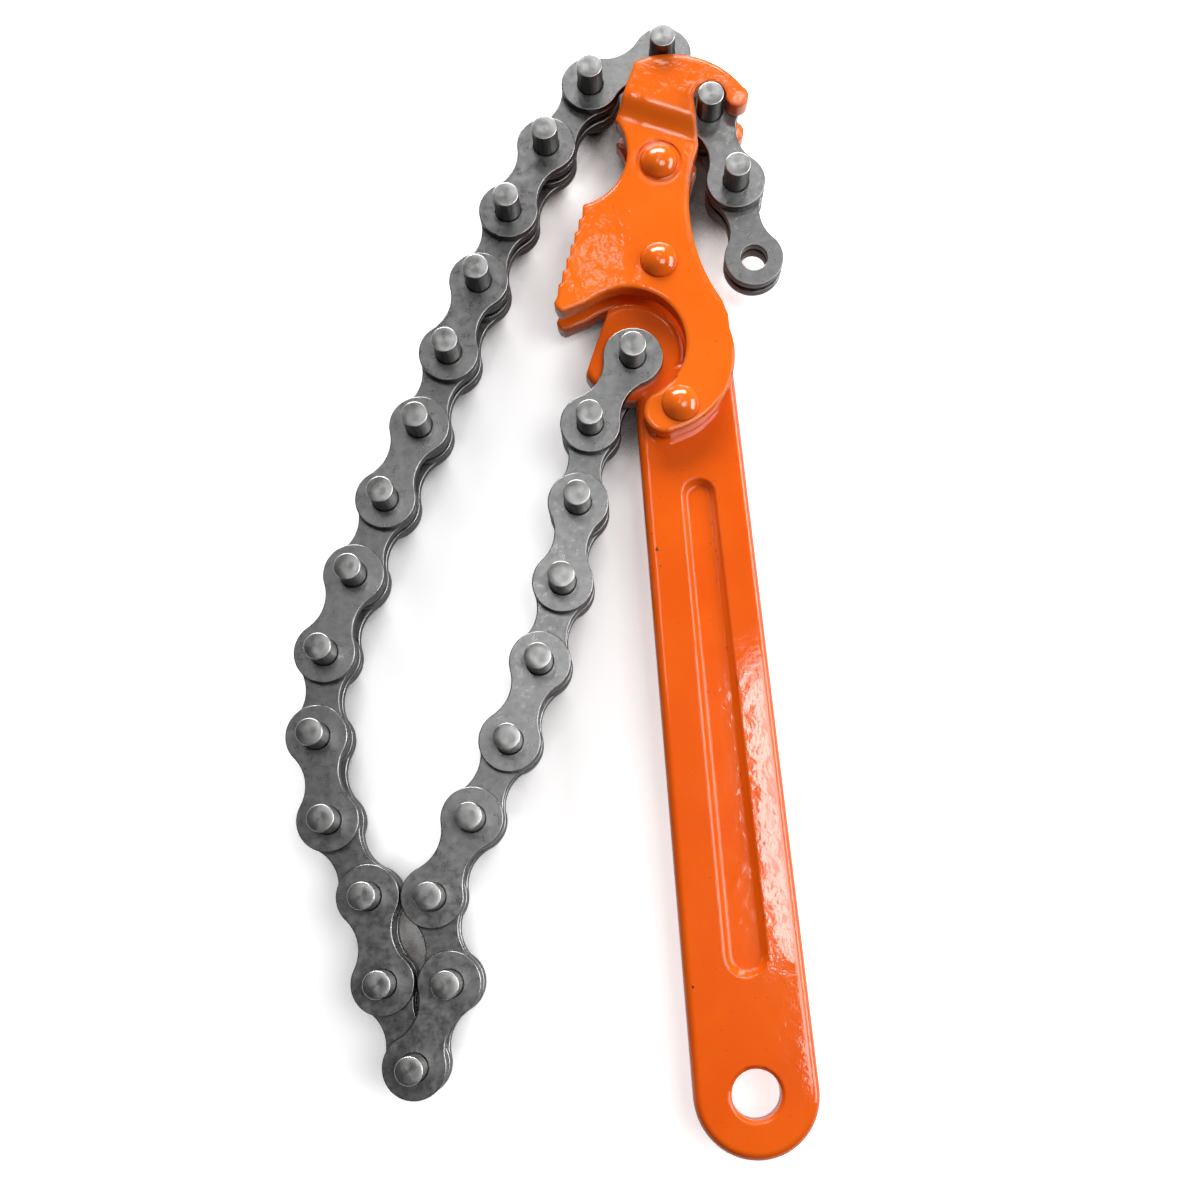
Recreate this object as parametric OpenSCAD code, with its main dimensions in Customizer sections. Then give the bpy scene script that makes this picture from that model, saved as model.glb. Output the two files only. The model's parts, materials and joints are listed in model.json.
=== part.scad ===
// Chain wrench for screw-on oil filters: a painted steel handle with an eye at its top,
// a hooked head of two toothed jaw plates that swings on a rivet, and a pinned steel chain
// that is held by the eye and laid in the hook.
// The origin is the middle of the hanging hole, +Y runs up the handle, +Z points at the front.

/* [Chain] */
// Distance between neighbouring pins
chain_pitch = 15.875; // [15.5:0.025:16.3]
// Height of a link plate over its round ends
plate_end_d = 11.7; // [10:0.1:11.8]
// Height of a link plate at its waist
plate_waist = 6.5; // [5:0.1:9]
// Thickness of a link plate
plate_t = 2; // [1.5:0.05:2.4]
// Diameter of a chain pin
pin_d = 5.08; // [4.4:0.02:5.6]
// Length of pin that stands out past each outer plate
pin_reach = 7; // [5:0.1:9]
// Bevel at the ends of a pin
pin_bevel = 0.4; // [0.1:0.05:0.8]
// Radial play of a pin in the pieces that turn on it
pin_play = 0.06; // [0.02:0.01:0.09]
// Outer diameter of the spacing ring between two inner plates
ring_d = 8.4; // [7:0.1:10]

/* [Handle] */
// Distance from the hanging hole to the head's rivet
handle_reach = 128.8; // [110:0.5:160]
// Thickness of the bar
handle_t = 6; // [5.4:0.1:6.6]
// Radius of the rounded lower end
handle_end_r = 11.4; // [9:0.1:14]
// Half width of the bar at the head's rivet
handle_top_r = 9.9; // [8:0.1:10.4]
// Sideways shift of the bar at the head's rivet
handle_top_shift = 1.3; // [0:0.1:2]
// Rounding of the bar's long edges
handle_edge = 1.5; // [0.5:0.1:2.2]
// Diameter of the hanging hole
hanging_hole_d = 9; // [6:0.1:12]
// Bevel at both rims of the hanging hole
hanging_hole_bevel = 0.5; // [0.2:0.1:1]
// Width of the pressed groove near the hanging hole
groove_low_w = 8; // [5:0.1:10]
// Width of the pressed groove near the head
groove_high_w = 6.7; // [4:0.1:8]
// Depth of the pressed groove on each face
groove_depth = 1.2; // [0.4:0.1:1.6]
// Distance from the hanging hole to the groove's lower end
groove_start = 20.5; // [18:0.5:40]
// Distance from the head's rivet to the groove's upper end
groove_stop = 14; // [12:0.5:30]
// Radius of the eye that holds the chain
eye_r = 10.2; // [9.4:0.1:10.6]
// Distance from the eye's pin to the flat on the eye's outer side
eye_flat = 7.1; // [6:0.1:8]

/* [Head] */
// Thickness of a jaw plate
jaw_t = 4.2; // [3.6:0.1:4.8]
// Play between the handle and a jaw plate
jaw_play = 0.1; // [0.05:0.05:0.2]
// Outward offset of the hook from the lower part of a jaw plate
hook_offset = 2.2; // [2.1:0.1:2.8]
// Radius of the opening round the eye
cavity_r = 11.56; // [11.2:0.02:11.7]
// Radius of the hook's seat
seat_r = 3.25; // [3.1:0.05:3.5]
// Outer radius of the hook
hook_r = 17.7; // [17:0.05:17.75]
// Number of teeth on a jaw plate
tooth_count = 7; // [5:1:8]
// Diameter of the rivets
rivet_d = 5; // [4:0.1:6]
// Diameter of the rivets' domed heads
rivet_head_d = 7.5; // [6.6:0.1:8]
// Height of the rivets' domed heads
rivet_head_h = 2; // [1:0.1:2.6]
// Outer diameter of the two spacers between the jaw plates
spacer_d = 8; // [6.6:0.1:8.4]

/* [Hidden] */
// Node to draw, or all of them
$fn = 96;
steel = [0.55, 0.56, 0.57];
dark_steel = [0.4, 0.41, 0.42];
orange = [1, 0.36, 0.02];

// levels above the middle plane
side_play = 0.05;
inner_top = handle_t / 2 - side_play;
inner_low = inner_top - plate_t;
outer_low = handle_t / 2 + side_play;
outer_top = outer_low + plate_t;
pin_top = outer_top + pin_reach;
jaw_low = handle_t / 2 + jaw_play;
jaw_top = jaw_low + jaw_t;
hook_low = jaw_low + hook_offset;

// places; those of the head are measured from its rivet
pivot = [0, handle_reach];
bar_top = pivot + [handle_top_shift, 0];
shoulder_r = 4.5;
shoulder_at = bar_top + [handle_top_r - shoulder_r, 6];
anchor = pivot + [-8.15, 11.2];
eye_at = pivot + [-8.15, 13];
middle_rivet_at = [-1.1, 29.6];
upper_rivet_at = [1, 50.3];
cavity_at = [-9.1, 13.07];
cavity_top = cavity_at + [0, cavity_r];
collar_at = [-4, 10.1];
collar_r = 15.5;
nose_at = [-3, -1.3];
nose_r = 4.2;
hook_at = [3.8, 54.2];
seat_at = [12.4, 61.9];
// the hooked pin hangs a little below the middle of its seat
seat_slack = 0.75;
// the finger's round end is as wide as the hook between its seat and its outer edge
finger_level = 61.4;
function reach_at(centre, r, level) = centre[0] + sqrt(r * r - pow(level - centre[1], 2));
hook_edge = reach_at(hook_at, hook_r, finger_level);
seat_edge = reach_at(seat_at, seat_r, finger_level);
finger_at = [(hook_edge + seat_edge) / 2, finger_level];
finger_r = (hook_edge - seat_edge) / 2;

// direction of each link in degrees, from the handle's eye to the loose end of the chain
laid = [-127, -104, -106, -111, -116, -121, -122, -83, -118, 107, 96, 113, 93, 80, 65, 64,
        62, 65, 64, 64, 57, 51, 19, -59, -77, -83];
fold_end = 12;
elbow = 16;
bridge = 24;

function unit(a) = [cos(a), sin(a)];
function run(from, to) = from > to ? [0, 0] : unit(laid[from - 1]) + run(from + 1, to);
function bearing(v) = atan2(v[1], v[0]);
function bounded(x) = max(-1, min(1, x));
function corner(a, b, c) = acos(bounded((a * a + b * b - c * c) / (2 * a * b)));

// the chain is laid from the eye to the end of its fold, and back from the hook to the bridge pin;
// the two straight runs between them turn about one elbow so that they meet
hooked_pin = pivot + seat_at - [0, seat_slack];
fold_pin = anchor + chain_pitch * run(1, fold_end - 1);
bridge_pin = hooked_pin - chain_pitch * unit(laid[bridge - 1]);
low_run = chain_pitch * run(fold_end, elbow - 1);
high_run = chain_pitch * run(elbow, bridge - 1);
span = bridge_pin - fold_pin;
low_turn = bearing(span) + corner(norm(low_run), norm(span), norm(high_run)) - bearing(low_run);
high_turn = bearing(span) - corner(norm(high_run), norm(span), norm(low_run)) - bearing(high_run);

function heading(k) = laid[k - 1]
    + (k >= fold_end && k < elbow ? low_turn : 0)
    + (k >= elbow && k < bridge ? high_turn : 0);
function pin_at(k) = k == 1 ? anchor : pin_at(k - 1) + chain_pitch * unit(heading(k - 1));

pin_r = pin_d / 2;
turning_r = pin_r + pin_play;
rivet_r = rivet_d / 2;

// figure-eight outline of a link plate, from the pin at the origin to the next one along +X
module plate_outline(bore) {
    end_r = plate_end_d / 2;
    waist = plate_waist / 2;
    half = chain_pitch / 2;
    scoop_r = (half * half + waist * waist - end_r * end_r) / (2 * (end_r - waist));
    scoop_y = scoop_r + waist;
    share = end_r / (end_r + scoop_r);
    difference() {
        union() {
            circle(end_r);
            translate([chain_pitch, 0]) circle(end_r);
            translate([half * share, -scoop_y * share])
                square([2 * half * (1 - share), 2 * scoop_y * share]);
        }
        translate([half, scoop_y]) circle(scoop_r);
        translate([half, -scoop_y]) circle(scoop_r);
        circle(bore);
        translate([chain_pitch, 0]) circle(bore);
    }
}

// puts a piece on link k, with its first pin at the origin and its second along +X
module on_link(k) {
    translate(pin_at(k)) rotate(heading(k)) children();
}

module plate_pair(bore, low) {
    translate([0, 0, low]) linear_extrude(plate_t) plate_outline(bore);
    translate([0, 0, -low - plate_t]) linear_extrude(plate_t) plate_outline(bore);
}

module outer_pair(k) color(steel) on_link(k) plate_pair(pin_r, outer_low);

module inner_pair(k) color(steel) on_link(k) plate_pair(turning_r, inner_low);

module pin() {
    rotate_extrude()
        polygon([[0, -pin_top], [pin_r - pin_bevel, -pin_top], [pin_r, -pin_top + pin_bevel],
                 [pin_r, pin_top - pin_bevel], [pin_r - pin_bevel, pin_top], [0, pin_top]]);
}

module pin_pair(k) color(steel) on_link(k) {
    pin();
    translate([chain_pitch, 0, 0]) pin();
}

module ring() {
    difference() {
        translate([0, 0, -inner_low]) cylinder(h = 2 * inner_low, d = ring_d);
        translate([0, 0, -inner_low - 1]) cylinder(h = 2 * inner_low + 2, r = turning_r);
    }
}

module ring_pair(k) color(dark_steel) on_link(k) {
    ring();
    translate([chain_pitch, 0, 0]) ring();
}

// disc with rounded rims, used for the bar and the eye
module rounded_disc(r, fine) {
    flat = handle_t / 2 - handle_edge;
    rotate_extrude($fn = fine) union() {
        translate([0, -handle_t / 2]) square([r - handle_edge, handle_t]);
        translate([0, -flat]) square([r, 2 * flat]);
        for (side = [-1, 1])
            translate([r - handle_edge, side * flat]) circle(handle_edge, $fn = 32);
    }
}

// cutter for the pressed groove on one face, with sloping walls
module groove_cutter() {
    hull() {
        for (stop = [[[0.9, groove_start + groove_low_w / 2], groove_low_w],
                     [[bar_top[0] + 0.4, handle_reach - groove_stop - groove_high_w / 2], groove_high_w]])
            translate([stop[0][0], stop[0][1], handle_t / 2 - groove_depth])
                cylinder(h = 2 * groove_depth, r1 = stop[1] / 2 - groove_depth,
                         r2 = stop[1] / 2 + groove_depth, $fn = 32);
    }
}

module handle() color(orange) difference() {
    union() {
        hull() {
            rounded_disc(handle_end_r, 64);
            translate(bar_top) rounded_disc(handle_top_r, 64);
            translate(shoulder_at) rounded_disc(shoulder_r, 64);
        }
        translate(eye_at) difference() {
            rounded_disc(eye_r, 96);
            rotate(156) translate([eye_flat, -2 * eye_r, -handle_t]) cube([eye_r, 4 * eye_r, 2 * handle_t]);
        }
    }
    groove_cutter();
    mirror([0, 0, 1]) groove_cutter();
    translate([0, 0, -handle_t]) cylinder(h = 2 * handle_t, d = hanging_hole_d);
    for (side = [0, 1]) mirror([0, 0, side])
        translate([0, 0, handle_t / 2 - hanging_hole_bevel])
            cylinder(h = 2 * hanging_hole_bevel, d1 = hanging_hole_d, d2 = hanging_hole_d + 4 * hanging_hole_bevel);
    translate([pivot[0], pivot[1], -handle_t]) cylinder(h = 2 * handle_t, r = rivet_r + pin_play);
    translate([anchor[0], anchor[1], -handle_t]) cylinder(h = 2 * handle_t, r = turning_r);
}

// toothed edge of a jaw plate, from its upper end down to the tip
tooth_top = [-14.9, 42.2];
tooth_foot = [-22.25, 23.9];
tooth_step = (tooth_foot - tooth_top) / tooth_count;
function tooth(k) = tooth_top + k * tooth_step;
teeth = [for (k = [0:tooth_count - 1])
         each [tooth(k), tooth(k) + [0.35 * tooth_step[0], 0.88 * tooth_step[1]]]];

module jaw_outline() {
    difference() {
        union() {
            difference() {
                union() {
                    translate(collar_at) circle(collar_r);
                    polygon(concat([[-7.2, 58.9]], teeth,
                        [[-22.4, 22.8], [-21.9, 21.5], [-20.9, 20.9], cavity_top, [-6, 20], [8, 10],
                         [11, 14], [11, 17], [10.2, 20], [9.1, 22.4], [9.1, 53], [9.1, 60]]));
                }
                polygon([[-40, 15], [-20.9, 20.9], cavity_top, cavity_at, nose_at, [-3, -12], [-40, -12]]);
                translate([42.6, 37.5]) circle(36.8);
            }
            translate(nose_at) circle(nose_r);
            intersection() {
                translate(hook_at) circle(hook_r);
                polygon([[-7.2, 58.9], [-1.6, 71.1], [-1.6, 80], [30, 80], [30, finger_at[1]],
                         [seat_at[0] - seat_r, finger_at[1]], [seat_at[0] - seat_r, 53], [-4, 53]]);
            }
            translate(finger_at) circle(finger_r);
        }
        translate(cavity_at) circle(cavity_r);
        translate([-16.5, 54.1]) circle(11.55);
        translate(seat_at) circle(seat_r);
    }
}

// side view of a jaw plate along its bend: an easy double curve takes the hook further out
bend_angle = 65;
bend_steps = 12;
inner_bend = [50.6, 55.2];
outer_bend = [51.8, 57.4];
function eased(t) = (1 - cos(180 * t)) / 2;
function bend_point(ends, level, t) = [ends[0] + (ends[1] - ends[0]) * t, level + hook_offset * eased(t)];
module bent_strip() {
    inner_line = [for (i = [0:bend_steps]) bend_point(inner_bend, jaw_low, i / bend_steps)];
    outer_line = [for (i = [bend_steps:-1:0]) bend_point(outer_bend, jaw_top, i / bend_steps)];
    rotate(bend_angle) translate([0, 100, 0]) rotate([90, 0, 0]) linear_extrude(200)
        polygon(concat([[-60, jaw_low]], inner_line, [[120, hook_low], [120, hook_low + jaw_t]],
                       outer_line, [[-60, jaw_top]]));
}

module jaw_plate() {
    translate(pivot) difference() {
        intersection() {
            linear_extrude(jaw_top + 2 * hook_offset) jaw_outline();
            bent_strip();
        }
        for (at = [[0, 0], middle_rivet_at, upper_rivet_at])
            translate(at) cylinder(h = 3 * jaw_top, r = rivet_r);
        translate([upper_rivet_at[0], upper_rivet_at[1], jaw_top - 0.25]) difference() {
            cylinder(h = 1, r = rivet_head_d / 2 + 0.75);
            translate([0, 0, -1]) cylinder(h = 3, r = rivet_head_d / 2 + 0.1);
        }
    }
}

module front_jaw() color(orange) jaw_plate();

module rear_jaw() color(orange) mirror([0, 0, 1]) jaw_plate();

// rivet with a domed head on each side
module rivet() {
    head_r = rivet_head_d / 2;
    dome_r = (head_r * head_r + rivet_head_h * rivet_head_h) / (2 * rivet_head_h);
    translate([0, 0, -jaw_top]) cylinder(h = 2 * jaw_top, r = rivet_r);
    for (side = [0, 1]) mirror([0, 0, side])
        rotate_extrude() intersection() {
            translate([0, jaw_top + rivet_head_h - dome_r]) circle(dome_r);
            translate([0, jaw_top]) square([head_r, rivet_head_h]);
        }
}

module pivot_rivet() color(orange) translate(pivot) rivet();

module middle_rivet() color(orange) translate(pivot + middle_rivet_at) rivet();

module upper_rivet() color(orange) translate(pivot + upper_rivet_at) rivet();

module spacer() {
    difference() {
        translate([0, 0, -jaw_low]) cylinder(h = 2 * jaw_low, d = spacer_d);
        translate([0, 0, -jaw_low - 1]) cylinder(h = 2 * jaw_low + 2, r = rivet_r);
    }
}

module middle_spacer() color(orange) translate(pivot + middle_rivet_at) spacer();

module upper_spacer() color(orange) translate(pivot + upper_rivet_at) spacer();

module link_01_outer_plates() outer_pair(1);

module link_01_pins() pin_pair(1);

module link_02_inner_plates() inner_pair(2);

module link_02_rings() ring_pair(2);

module link_03_outer_plates() outer_pair(3);

module link_03_pins() pin_pair(3);

module link_04_inner_plates() inner_pair(4);

module link_04_rings() ring_pair(4);

module link_05_outer_plates() outer_pair(5);

module link_05_pins() pin_pair(5);

module link_06_inner_plates() inner_pair(6);

module link_06_rings() ring_pair(6);

module link_07_outer_plates() outer_pair(7);

module link_07_pins() pin_pair(7);

module link_08_inner_plates() inner_pair(8);

module link_08_rings() ring_pair(8);

module link_09_outer_plates() outer_pair(9);

module link_09_pins() pin_pair(9);

module link_10_inner_plates() inner_pair(10);

module link_10_rings() ring_pair(10);

module link_11_outer_plates() outer_pair(11);

module link_11_pins() pin_pair(11);

module link_12_inner_plates() inner_pair(12);

module link_12_rings() ring_pair(12);

module link_13_outer_plates() outer_pair(13);

module link_13_pins() pin_pair(13);

module link_14_inner_plates() inner_pair(14);

module link_14_rings() ring_pair(14);

module link_15_outer_plates() outer_pair(15);

module link_15_pins() pin_pair(15);

module link_16_inner_plates() inner_pair(16);

module link_16_rings() ring_pair(16);

module link_17_outer_plates() outer_pair(17);

module link_17_pins() pin_pair(17);

module link_18_inner_plates() inner_pair(18);

module link_18_rings() ring_pair(18);

module link_19_outer_plates() outer_pair(19);

module link_19_pins() pin_pair(19);

module link_20_inner_plates() inner_pair(20);

module link_20_rings() ring_pair(20);

module link_21_outer_plates() outer_pair(21);

module link_21_pins() pin_pair(21);

module link_22_inner_plates() inner_pair(22);

module link_22_rings() ring_pair(22);

module link_23_outer_plates() outer_pair(23);

module link_23_pins() pin_pair(23);

module link_24_inner_plates() inner_pair(24);

module link_24_rings() ring_pair(24);

module link_25_outer_plates() outer_pair(25);

module link_25_pins() pin_pair(25);

module link_26_inner_plates() inner_pair(26);

module link_26_rings() ring_pair(26);

handle();
front_jaw();
rear_jaw();
pivot_rivet();
middle_rivet();
upper_rivet();
middle_spacer();
upper_spacer();
link_01_outer_plates();
link_01_pins();
link_02_inner_plates();
link_02_rings();
link_03_outer_plates();
link_03_pins();
link_04_inner_plates();
link_04_rings();
link_05_outer_plates();
link_05_pins();
link_06_inner_plates();
link_06_rings();
link_07_outer_plates();
link_07_pins();
link_08_inner_plates();
link_08_rings();
link_09_outer_plates();
link_09_pins();
link_10_inner_plates();
link_10_rings();
link_11_outer_plates();
link_11_pins();
link_12_inner_plates();
link_12_rings();
link_13_outer_plates();
link_13_pins();
link_14_inner_plates();
link_14_rings();
link_15_outer_plates();
link_15_pins();
link_16_inner_plates();
link_16_rings();
link_17_outer_plates();
link_17_pins();
link_18_inner_plates();
link_18_rings();
link_19_outer_plates();
link_19_pins();
link_20_inner_plates();
link_20_rings();
link_21_outer_plates();
link_21_pins();
link_22_inner_plates();
link_22_rings();
link_23_outer_plates();
link_23_pins();
link_24_inner_plates();
link_24_rings();
link_25_outer_plates();
link_25_pins();
link_26_inner_plates();
link_26_rings();
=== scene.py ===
"""Looks for the chain oil filter wrench: materials, soft edges, turned pins, floor, light and camera.

Every length is in metres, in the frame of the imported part: +Y runs up the handle, +Z faces the viewer.
"""
import json
import math

import bmesh
import bpy
from mathutils import Matrix, Vector


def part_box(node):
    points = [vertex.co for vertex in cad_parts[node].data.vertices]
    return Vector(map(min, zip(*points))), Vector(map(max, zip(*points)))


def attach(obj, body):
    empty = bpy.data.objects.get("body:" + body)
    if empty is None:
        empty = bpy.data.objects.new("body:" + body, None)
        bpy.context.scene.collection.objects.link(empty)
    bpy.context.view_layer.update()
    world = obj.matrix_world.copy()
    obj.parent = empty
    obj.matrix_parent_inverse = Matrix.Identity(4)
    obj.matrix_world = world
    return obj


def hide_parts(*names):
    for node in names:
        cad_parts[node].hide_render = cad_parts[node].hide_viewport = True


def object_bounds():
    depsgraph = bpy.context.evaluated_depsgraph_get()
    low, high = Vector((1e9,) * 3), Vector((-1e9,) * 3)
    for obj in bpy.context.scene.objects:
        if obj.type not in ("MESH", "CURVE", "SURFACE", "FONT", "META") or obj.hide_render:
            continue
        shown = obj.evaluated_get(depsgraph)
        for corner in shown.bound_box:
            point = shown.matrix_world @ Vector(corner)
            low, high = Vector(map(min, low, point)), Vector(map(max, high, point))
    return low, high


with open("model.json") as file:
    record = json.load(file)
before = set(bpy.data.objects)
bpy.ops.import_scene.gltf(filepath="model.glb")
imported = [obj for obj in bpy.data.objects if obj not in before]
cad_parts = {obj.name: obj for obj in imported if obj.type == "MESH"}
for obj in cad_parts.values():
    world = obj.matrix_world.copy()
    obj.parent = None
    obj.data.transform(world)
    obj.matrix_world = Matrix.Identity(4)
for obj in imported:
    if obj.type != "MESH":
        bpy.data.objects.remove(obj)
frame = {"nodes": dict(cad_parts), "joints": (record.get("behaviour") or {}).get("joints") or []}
cad_low, cad_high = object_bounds()
nodes = frame["nodes"]
scene = bpy.context.scene
MM = 0.001


# Sizes of what this script shapes or softens, with creases in degrees

LINK_COUNT = 26
PIN_RADIUS = 2.54 * MM
PIN_EDGE = 0.2 * MM
PIN_EDGE_STEPS = 3
TURN_STEPS = 72
PLATE_EDGE = 0.22 * MM
PLATE_EDGE_SEGMENTS = 2
PLATE_CREASE = 40
HANDLE_CREASE = 40
JAW_CREASE = 28


# Camera

CAMERA_AT = Vector((-17.98, 33.26, 302.2)) * MM
CAMERA_TILT = math.radians(11.26)
CAMERA_ROLL = math.radians(6.89)
CAMERA_TURN = math.radians(1.195)
CAMERA_LENS = 48.06


def make_camera():
    """The photograph's viewpoint: almost straight down on the tool, leaning towards its head."""
    data = bpy.data.cameras.new("camera")
    data.lens = CAMERA_LENS
    data.sensor_width = 36
    data.clip_start = 0.01
    data.clip_end = 20
    camera = bpy.data.objects.new("camera", data)
    scene.collection.objects.link(camera)
    right = Vector((1, 0, 0))
    up = Vector((0, math.cos(CAMERA_TILT), math.sin(CAMERA_TILT)))
    back = Vector((0, -math.sin(CAMERA_TILT), math.cos(CAMERA_TILT)))
    image_right = right * math.cos(CAMERA_ROLL) - up * math.sin(CAMERA_ROLL)
    image_up = right * math.sin(CAMERA_ROLL) + up * math.cos(CAMERA_ROLL)
    turn = Matrix.Rotation(CAMERA_TURN, 3, "Z")
    axes = [turn @ axis for axis in (image_right, image_up, back)]
    pose = Matrix.Identity(4)
    for column, axis in enumerate(axes):
        for row in range(3):
            pose[row][column] = axis[row]
    camera.matrix_world = Matrix.Translation(CAMERA_AT) @ pose
    scene.camera = camera


# Node helpers


class Shader:
    """A material and short ways to add and join its nodes."""

    def __init__(self, name):
        self.material = bpy.data.materials.new(name)
        self.material.use_nodes = True
        self.tree = self.material.node_tree
        self.surface = self.tree.nodes["Principled BSDF"]
        self.place = self.add("ShaderNodeTexCoord").outputs["Object"]

    def add(self, kind, **values):
        """A new node with some of its properties set."""
        node = self.tree.nodes.new(kind)
        for key, value in values.items():
            setattr(node, key, value)
        return node

    def join(self, output, socket):
        """A link from an output to a socket."""
        self.tree.links.new(output, socket)

    def set(self, **values):
        """Constant values for sockets of the surface, named with _ for each space."""
        for key, value in values.items():
            self.surface.inputs[key.replace("_", " ")].default_value = value

    def feed(self, **outputs):
        """Links to sockets of the surface, named with _ for each space."""
        for key, output in outputs.items():
            self.join(output, self.surface.inputs[key.replace("_", " ")])

    def noise(self, scale, detail=4.0, rough=0.55, stretch=None, turn=0.0, distort=0.0):
        """Noise of about 1/scale metres; stretch draws it out into streaks."""
        node = self.add("ShaderNodeTexNoise")
        node.inputs["Scale"].default_value = scale
        node.inputs["Detail"].default_value = detail
        node.inputs["Roughness"].default_value = rough
        node.inputs["Distortion"].default_value = distort
        if stretch:
            mapping = self.add("ShaderNodeMapping")
            mapping.inputs["Scale"].default_value = stretch
            mapping.inputs["Rotation"].default_value = (0, 0, turn)
            self.join(self.place, mapping.inputs["Vector"])
            self.join(mapping.outputs["Vector"], node.inputs["Vector"])
        else:
            self.join(self.place, node.inputs["Vector"])
        return node.outputs["Fac"]

    def distance(self, point):
        """How far the surface is from a point in the frame."""
        node = self.add("ShaderNodeVectorMath", operation="DISTANCE")
        self.join(self.place, node.inputs[0])
        node.inputs[1].default_value = point
        return node.outputs["Value"]

    def span(self, value, low, high, to_low=0.0, to_high=1.0):
        """Maps low..high to to_low..to_high and holds it there beyond."""
        node = self.add("ShaderNodeMapRange", interpolation_type="SMOOTHSTEP")
        for key, number in (("From Min", low), ("From Max", high), ("To Min", to_low), ("To Max", to_high)):
            node.inputs[key].default_value = number
        self.join(value, node.inputs["Value"])
        return node.outputs["Result"]

    def math(self, operation, a, b):
        """One calculation on two values, each a number or an output."""
        node = self.add("ShaderNodeMath", operation=operation)
        for socket, value in zip(node.inputs, (a, b)):
            if isinstance(value, (int, float)):
                socket.default_value = value
            else:
                self.join(value, socket)
        return node.outputs["Value"]

    def mix(self, share, a, b):
        """From a to b as share goes from 0 to 1, each a colour or an output."""
        node = self.add("ShaderNodeMix", data_type="RGBA")
        self.join(share, node.inputs["Factor"])
        sockets = [socket for socket in node.inputs if socket.type == "RGBA"]
        for socket, value in zip(sockets, (a, b)):
            if isinstance(value, tuple):
                socket.default_value = (*value, 1)
            else:
                self.join(value, socket)
        return [output for output in node.outputs if output.type == "RGBA"][0]

    def tint(self, colour, mask, strength, towards):
        """Takes a colour towards another one by strength where the mask is 1."""
        return self.mix(self.math("MULTIPLY", mask, strength), colour, towards)

    def rounded(self, radius, samples=4):
        """The normal as if sharp edges were rounded by radius."""
        node = self.add("ShaderNodeBevel", samples=samples)
        node.inputs["Radius"].default_value = radius
        return node.outputs["Normal"]

    def edge(self, radius):
        """1 at a sharp edge, falling to 0 about radius away from it."""
        plain = self.add("ShaderNodeNewGeometry")
        dot = self.add("ShaderNodeVectorMath", operation="DOT_PRODUCT")
        self.join(self.rounded(radius), dot.inputs[0])
        self.join(plain.outputs["Normal"], dot.inputs[1])
        return self.span(dot.outputs["Value"], 0.995, 0.85)

    def upright(self, low, high):
        """0 on walls and 1 on faces that look up or down."""
        node = self.add("ShaderNodeSeparateXYZ")
        self.join(self.add("ShaderNodeNewGeometry").outputs["True Normal"], node.inputs["Vector"])
        return self.span(self.math("ABSOLUTE", node.outputs["Z"], 0), low, high)

    def bump(self, height, distance, strength=1.0, after=None):
        """A normal from a height, on top of the normal given as after."""
        node = self.add("ShaderNodeBump")
        node.inputs["Strength"].default_value = strength
        node.inputs["Distance"].default_value = distance
        self.join(height, node.inputs["Height"])
        if after:
            self.join(after, node.inputs["Normal"])
        return node.outputs["Normal"]


# Materials

DUST_BROWN = (0.45, 0.06, 0.004)
BARE_BROWN = (0.09, 0.035, 0.02)
RUBBED_GREY = (0.6, 0.6, 0.59)
SIDE_WALL_GREY = (0.05, 0.049, 0.047)
CHIP_LEVEL = 3 * MM


def paint(name, deep, light, chips=(), ripple=0.2, edge=0.7 * MM):
    """Thick glossy paint between two tones, with a wavy skin, soft edges, dust and a few chips.

    Each chip is its place in millimetres and the size of the spot where the paint is knocked off.
    """
    s = Shader(name)
    colour = s.mix(s.span(s.noise(45, 3), 0.35, 0.7), deep, light)
    dust = s.span(s.noise(1400, 2, 0.5), 0.70, 0.76)
    colour = s.tint(colour, dust, 0.6, DUST_BROWN)
    worn = s.math("MULTIPLY", s.edge(0.9 * MM), s.span(s.noise(330, 5, 0.65), 0.60, 0.66))
    ragged = s.math("MULTIPLY", s.noise(1500, 4, 0.7), 1.6 * MM)
    for x, y, size in chips:
        away = s.math("ADD", s.distance((x * MM, y * MM, CHIP_LEVEL)), ragged)
        worn = s.math("MAXIMUM", worn, s.span(away, (size + 0.7) * MM, (size + 0.5) * MM))
    colour = s.mix(worn, colour, BARE_BROWN)
    waves = s.bump(s.noise(130, 2, 0.5, distort=0.6), 0.2 * MM, ripple, s.rounded(edge, samples=6))
    peel = s.bump(s.noise(420, 3, 0.55), 0.12 * MM, ripple, waves)
    s.set(Coat_Weight=0.9, Coat_Roughness=0.05, Coat_IOR=1.7, IOR=1.5, Specular_IOR_Level=0.05)
    s.feed(Base_Color=colour, Roughness=s.span(s.noise(160, 4), 0.3, 0.75, 0.24, 0.42))
    s.feed(Normal=peel, Coat_Normal=peel)
    return s.material


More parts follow.
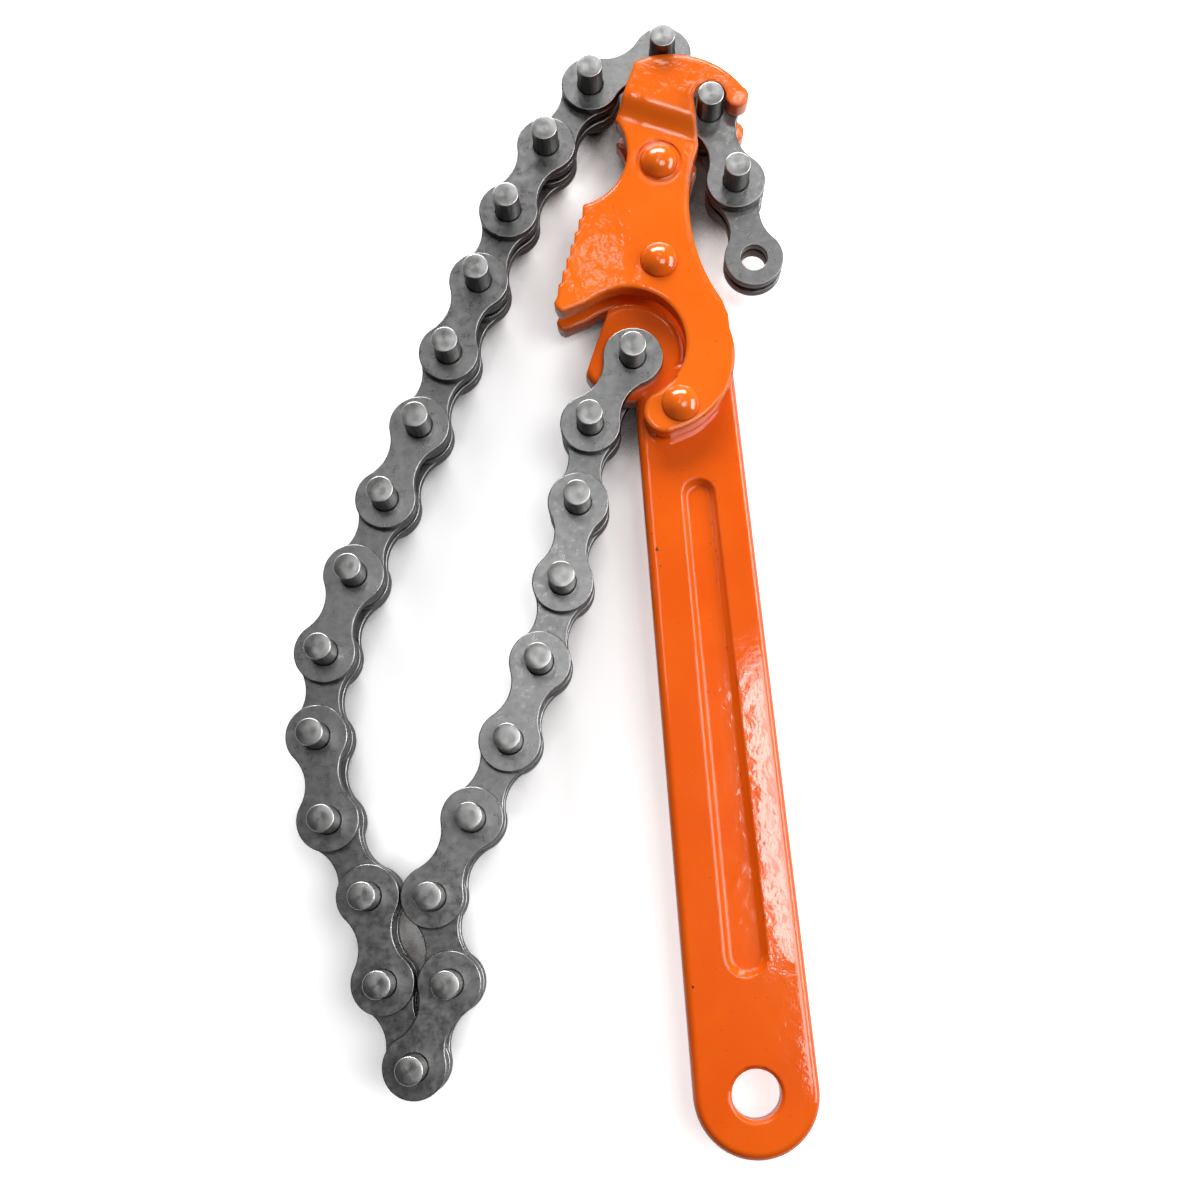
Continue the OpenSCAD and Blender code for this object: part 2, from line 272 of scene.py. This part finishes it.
def plate_steel(name, dark, bright):
    """Satin grey chain plate: faintly mottled, finely scratched, darker on its side walls than on its
    faces.
    """
    s = Shader(name)
    cloud = s.span(s.noise(900, 4, 0.55), 0.2, 0.8)
    colour = s.mix(cloud, (dark, dark * 1.005, dark), (bright, bright * 1.005, bright))
    speck = s.span(s.noise(2600, 2, 0.5), 0.69, 0.77)
    colour = s.tint(colour, speck, 0.35, (dark * 0.5, dark * 0.5, dark * 0.49))
    stain = s.span(s.noise(300, 4, 0.6), 0.66, 0.82)
    colour = s.tint(colour, stain, 0.2, (dark * 0.6, dark * 0.57, dark * 0.54))
    rub = s.math("MULTIPLY", s.edge(0.4 * MM), s.span(s.noise(260, 3), 0.3, 0.7))
    colour = s.tint(colour, rub, 0.5, RUBBED_GREY)
    # The side walls take a dark grey in place of the steel's colour.
    colour = s.mix(s.upright(0.25, 0.6), SIDE_WALL_GREY, colour)
    along = s.bump(s.noise(420, 3, 0.6, (1, 0.05, 1), 0.5), 0.03 * MM, 0.5)
    across = s.bump(s.noise(420, 3, 0.6, (0.05, 1, 1), 0.9), 0.03 * MM, 0.4, along)
    dents = s.bump(s.noise(140, 2), 0.2 * MM, 0.2, across)
    s.set(Metallic=1.0)
    s.feed(Base_Color=colour, Roughness=s.span(s.noise(700, 5, 0.6), 0.3, 0.75, 0.26, 0.40), Normal=dents)
    return s.material


def pin_steel(name):
    """Turned steel whose sides are darkened as painted shade, with lighter vertical streaks on them that
    are painted highlights, and whose bevelled rim is lightened as a painted highlight.

    The tool's marks run round the pin, so the gloss fans out on its flat ends.
    """
    s = Shader(name)
    ends = s.mix(s.span(s.noise(420, 4), 0.35, 0.7), (0.40, 0.40, 0.395), (0.50, 0.50, 0.495))
    # Painted shade and highlights: the sides take a far darker colour than the ends, broken by lighter
    # vertical streaks that stand in for highlights.
    streak = s.span(s.noise(1500, 3, 0.6, (1, 1, 0.02)), 0.35, 0.7)
    sides = s.mix(streak, (0.06, 0.058, 0.056), (0.17, 0.168, 0.165))
    colour = s.mix(s.upright(0.15, 0.5), sides, ends)
    # Painted highlight: a light grey rim on the bevel round each pin end.
    rim = s.math("MULTIPLY", s.upright(0.2, 0.5), s.math("SUBTRACT", 1, s.upright(0.93, 0.99)))
    colour = s.mix(rim, colour, (0.8, 0.8, 0.79))
    mark = s.span(s.noise(900, 3, 0.6), 0.68, 0.76)
    colour = s.tint(colour, mark, 0.4, (0.16, 0.155, 0.15))
    tangent = s.add("ShaderNodeTangent", direction_type="UV_MAP", uv_map="turning")
    s.set(Metallic=1.0, Anisotropic=0.4)
    s.feed(Base_Color=colour, Roughness=s.span(s.noise(600, 3), 0.3, 0.7, 0.28, 0.38))
    s.feed(Tangent=tangent.outputs["Tangent"], Normal=s.bump(s.noise(900, 2), 0.02 * MM, 0.4))
    return s.material


def ring_steel(name):
    """Oily brown steel inside the links."""
    s = Shader(name)
    rust = s.span(s.noise(700, 5, 0.65), 0.35, 0.65)
    colour = s.mix(rust, (0.05, 0.032, 0.024), (0.15, 0.065, 0.035))
    s.set(Metallic=0.4)
    s.feed(Base_Color=colour, Roughness=s.span(s.noise(900, 3), 0.3, 0.7, 0.45, 0.7))
    s.feed(Normal=s.bump(s.noise(1200, 4), 0.1 * MM, 0.6))
    return s.material


# Pieces


def even_normals(piece):
    """Keeps flat faces flat where they meet curved walls, and hard corners hard."""
    even = piece.modifiers.new("even", "WEIGHTED_NORMAL")
    even.keep_sharp = True


def dress(name, material, edge=0.0):
    """Gives a node its material, smooth shading and, with an edge, corners rounded that far."""
    piece = nodes[name]
    piece.data.materials.clear()
    piece.data.materials.append(material)
    weld = piece.modifiers.new("weld", "WELD")
    weld.merge_threshold = 0.001 * MM
    if edge:
        flat = piece.modifiers.new("flat", "DECIMATE")
        flat.decimate_type = "DISSOLVE"
        flat.angle_limit = math.radians(0.5)
        soft = piece.modifiers.new("soft edge", "BEVEL")
        soft.width = edge
        soft.segments = PLATE_EDGE_SEGMENTS
        soft.limit_method = "ANGLE"
        soft.angle_limit = math.radians(PLATE_CREASE)
        soft.use_clamp_overlap = False
        soft.miter_outer = "MITER_ARC"
    for polygon in piece.data.polygons:
        polygon.use_smooth = True
    even_normals(piece)


def add_piece(name, mesh, material):
    """An object with smooth faces and one material, made from a bmesh, which it frees."""
    for face in mesh.faces:
        face.smooth = True
    data = bpy.data.meshes.new(name)
    mesh.to_mesh(data)
    mesh.free()
    data.materials.append(material)
    piece = bpy.data.objects.new(name, data)
    scene.collection.objects.link(piece)
    even_normals(piece)
    return piece


def painted(name, body, material, crease):
    """A copy of a node, sharp at edges of more than crease degrees, which the paint itself softens."""
    mesh = bmesh.new()
    mesh.from_mesh(nodes[name].data)
    bmesh.ops.remove_doubles(mesh, verts=mesh.verts, dist=0.002 * MM)
    bmesh.ops.dissolve_limit(mesh, angle_limit=math.radians(0.1), verts=mesh.verts, edges=mesh.edges)
    for edge in mesh.edges:
        if edge.calc_face_angle(0) > math.radians(crease):
            edge.smooth = False
    piece = add_piece(name + "_painted", mesh, material)
    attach(piece, body)
    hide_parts(name)


def pin_profile(reach):
    """Radius and height along half a pin's section, from the middle of its top to that of its bottom."""
    inner = PIN_RADIUS - PIN_EDGE
    profile = [(0.0, reach), (PIN_RADIUS * 0.4, reach), (inner, reach)]
    for step in range(1, PIN_EDGE_STEPS + 1):
        angle = math.radians(90 * step / PIN_EDGE_STEPS)
        profile.append((inner + PIN_EDGE * math.sin(angle), reach - PIN_EDGE + PIN_EDGE * math.cos(angle)))
    return profile + [(radius, -height) for radius, height in reversed(profile)]


def spin(mesh, turning, centre, profile):
    """Turns a profile round an upright axis; the UV layer called turning runs round with it."""
    rings = []
    for radius, height in profile:
        ring = []
        for i in range(TURN_STEPS if radius else 1):
            angle = 2 * math.pi * i / TURN_STEPS
            spot = (centre.x + radius * math.cos(angle), centre.y + radius * math.sin(angle), height)
            ring.append(mesh.verts.new(spot))
        rings.append(ring)
    for level, (upper, lower) in enumerate(zip(rings, rings[1:])):
        for i in range(TURN_STEPS):
            j = (i + 1) % TURN_STEPS
            corners = [(upper, i, 0), (lower, i, 1), (lower, j, 1), (upper, j, 0)]
            if len(upper) == 1:
                corners = [(upper, 0, 0), (lower, i, 1), (lower, j, 1)]
            elif len(lower) == 1:
                corners = [(upper, i, 0), (lower, 0, 1), (upper, j, 0)]
            face = mesh.faces.new([ring[n] for ring, n, _ in corners])
            for loop, (_, n, row) in zip(face.loops, corners):
                share = i if n == i else i + 1
                loop[turning].uv = (share / TURN_STEPS, (level + row) / len(profile))


def turned(body, centres, reach, material):
    """The two pins of one outer link, with marks running round them."""
    mesh = bmesh.new()
    turning = mesh.loops.layers.uv.new("turning")
    for centre in centres:
        spin(mesh, turning, centre, pin_profile(reach))
    piece = add_piece(body + "_turned_pins", mesh, material)
    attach(piece, body)
    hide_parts(body + "_pins")


# Floor and light

FLOOR_HALF = 3.0
FLOOR_GAP = 0.02 * MM
FLOOR_SHADE_REACH = 12 * MM
FLOOR_SHADE = (0.10, 0.085, 0.075)
FLOOR_WHITE = (1.25, 1.25, 1.25)
FLOOR_GLOW = 0.4
FLOOR_GREY = (0.5, 0.5, 0.5)
FLOOR_IN_GLOSS = 0.3
WORLD_STRENGTH = 0.05
OVERHEAD = 0.8


def make_stage():
    """A floor under the lowest pin ends: white to the camera, with painted shade close under the part.

    Light that it scatters back onto the part comes from a plain grey, and gloss shows a share of the white.
    """
    level = cad_low.z - FLOOR_GAP
    corners = [(x * FLOOR_HALF, y * FLOOR_HALF, level) for x, y in ((-1, -1), (1, -1), (1, 1), (-1, 1))]
    data = bpy.data.meshes.new("floor")
    data.from_pydata(corners, [], [(0, 1, 2, 3)])
    floor = bpy.data.objects.new("floor", data)
    scene.collection.objects.link(floor)
    s = Shader("floor")
    path = s.add("ShaderNodeLightPath").outputs
    in_gloss = s.math("MULTIPLY", path["Is Glossy Ray"], FLOOR_IN_GLOSS)
    seen = s.math("MAXIMUM", path["Is Camera Ray"], in_gloss)
    seen = s.math("MAXIMUM", seen, path["Is Transmission Ray"])
    # Painted shade: where the part is close above the floor, its colour goes towards a dark brown-grey and
    # its glow fades.
    sky = s.add("ShaderNodeAmbientOcclusion", samples=16)
    sky.inputs["Distance"].default_value = FLOOR_SHADE_REACH
    clear = s.span(sky.outputs["AO"], 0.35, 0.7)
    glow = s.math("MULTIPLY", seen, s.math("MULTIPLY", clear, FLOOR_GLOW))
    s.set(Roughness=0.9, Specular_IOR_Level=0.1, Emission_Color=(1, 1, 1, 1))
    white = s.mix(clear, FLOOR_SHADE, FLOOR_WHITE)
    s.feed(Base_Color=s.mix(seen, FLOOR_GREY, white), Emission_Strength=glow)
    data.materials.append(s.material)


def area_light(name, at, towards, size, power, turn=0.0):
    """A rectangular lamp, turned by some degrees about the line it looks along."""
    data = bpy.data.lights.new(name, "AREA")
    data.shape = "RECTANGLE"
    data.size, data.size_y = size
    data.energy = power
    lamp = bpy.data.objects.new(name, data)
    scene.collection.objects.link(lamp)
    aim = Vector(towards) - Vector(at)
    pose = aim.to_track_quat("-Z", "Y").to_matrix().to_4x4() @ Matrix.Rotation(math.radians(turn), 4, "Z")
    lamp.matrix_world = Matrix.Translation(Vector(at)) @ pose


def overhead_light(name, x, y, size, power, turn=0.0):
    """A lamp that looks straight down."""
    area_light(name, (x, y, OVERHEAD), (x, y, 0), size, power, turn)


def make_light():
    """Two large soft lamps, one beyond the head and one at the right, and smaller ones overhead.

    The overhead ones are there for the gloss that they leave on paint and steel.
    """
    world = bpy.data.worlds.new("studio")
    scene.world = world
    world.use_nodes = True
    back = world.node_tree.nodes["Background"]
    back.inputs["Color"].default_value = (1, 1, 1, 1)
    back.inputs["Strength"].default_value = WORLD_STRENGTH
    area_light("key", (0.0, 1.15, 0.5), (0.0, 0.12, 0), (1.0, 0.4), 16.4)
    area_light("side", (1.05, 0.1, 0.55), (0.0, 0.1, 0), (0.9, 0.4), 9.2)
    overhead_light("top", 0.255, 0.06, (0.33, 0.3), 1.8)
    overhead_light("sheen", 0.077, 0.091, (0.012, 0.19), 0.09)
    overhead_light("haze", 0.082, 0.1, (0.026, 0.21), 0.045)
    overhead_light("step", -0.08, 0.268, (0.045, 0.2), 0.2, -24)
    overhead_light("glint", 0.0, 0.5, (0.02, 0.03), 0.007)
    overhead_light("tail", 0.15, 0.57, (0.1, 0.1), 0.15)
    overhead_light("crown", 0.04, 0.7, (0.16, 0.08), 0.15)


# The tool

HANDLE_CHIPS = [
    (-8.0, 104.8, 0.35),
    (-7.5, 101.5, 0.5),
    (-7.0, 98.2, 0.3),
    (-9.4, 19.8, 0.4),
    (10.7, 12.1, 0.4),
    (-10.3, -3.8, 0.4),
]


def dress_handle():
    """The bar, with its chips along the edges."""
    orange = paint("handle_paint", (0.88, 0.108, 0.002), (0.93, 0.130, 0.003), HANDLE_CHIPS, 0.16)
    painted("handle", "handle", orange, HANDLE_CREASE)


def dress_head():
    """Jaws and rivets in their own oranges, and the spacers between the jaws in a darker copy of the
    orange: painted shade.
    """
    jaw_orange = paint("head_paint", (0.95, 0.150, 0.005), (0.98, 0.175, 0.008), ripple=0.35, edge=1.4 * MM)
    rivet_orange = paint("rivet_paint", (0.90, 0.140, 0.005), (0.93, 0.160, 0.007))
    # Painted shade: the spacers sit between the jaws and take a darker copy of the orange.
    spacer_shaded_orange = paint("spacer_paint", (0.62, 0.100, 0.003), (0.66, 0.115, 0.005))
    for name in ("front_jaw", "rear_jaw"):
        painted(name, "head", jaw_orange, JAW_CREASE)
    for name in ("pivot_rivet", "middle_rivet", "upper_rivet"):
        dress(name, rivet_orange)
    for name in ("middle_spacer", "upper_spacer"):
        dress(name, spacer_shaded_orange)


def dress_chain():
    """Odd links have outer plates and pins, even ones inner plates and rings."""
    outer_steel = plate_steel("outer_plate_steel", 0.30, 0.40)
    inner_steel = plate_steel("inner_plate_steel", 0.27, 0.36)
    bright_steel = pin_steel("pin_steel")
    brown_steel = ring_steel("ring_steel")
    joint_at = {joint["name"]: Vector(joint["pos_m"]) for joint in frame["joints"]}
    pin_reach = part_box("link_01_pins")[1].z
    for k in range(1, LINK_COUNT + 1):
        body = f"link_{k:02d}"
        if k % 2:
            dress(body + "_outer_plates", outer_steel, PLATE_EDGE)
            centres = [joint_at[f"chain_hinge_{k:02d}"], joint_at[f"chain_hinge_{k + 1:02d}"]]
            turned(body, centres, pin_reach, bright_steel)
        else:
            dress(body + "_inner_plates", inner_steel, PLATE_EDGE)
            dress(body + "_rings", brown_steel)


make_camera()
scene.view_settings.view_transform = "Standard"
make_stage()
make_light()
dress_handle()
dress_head()
dress_chain()
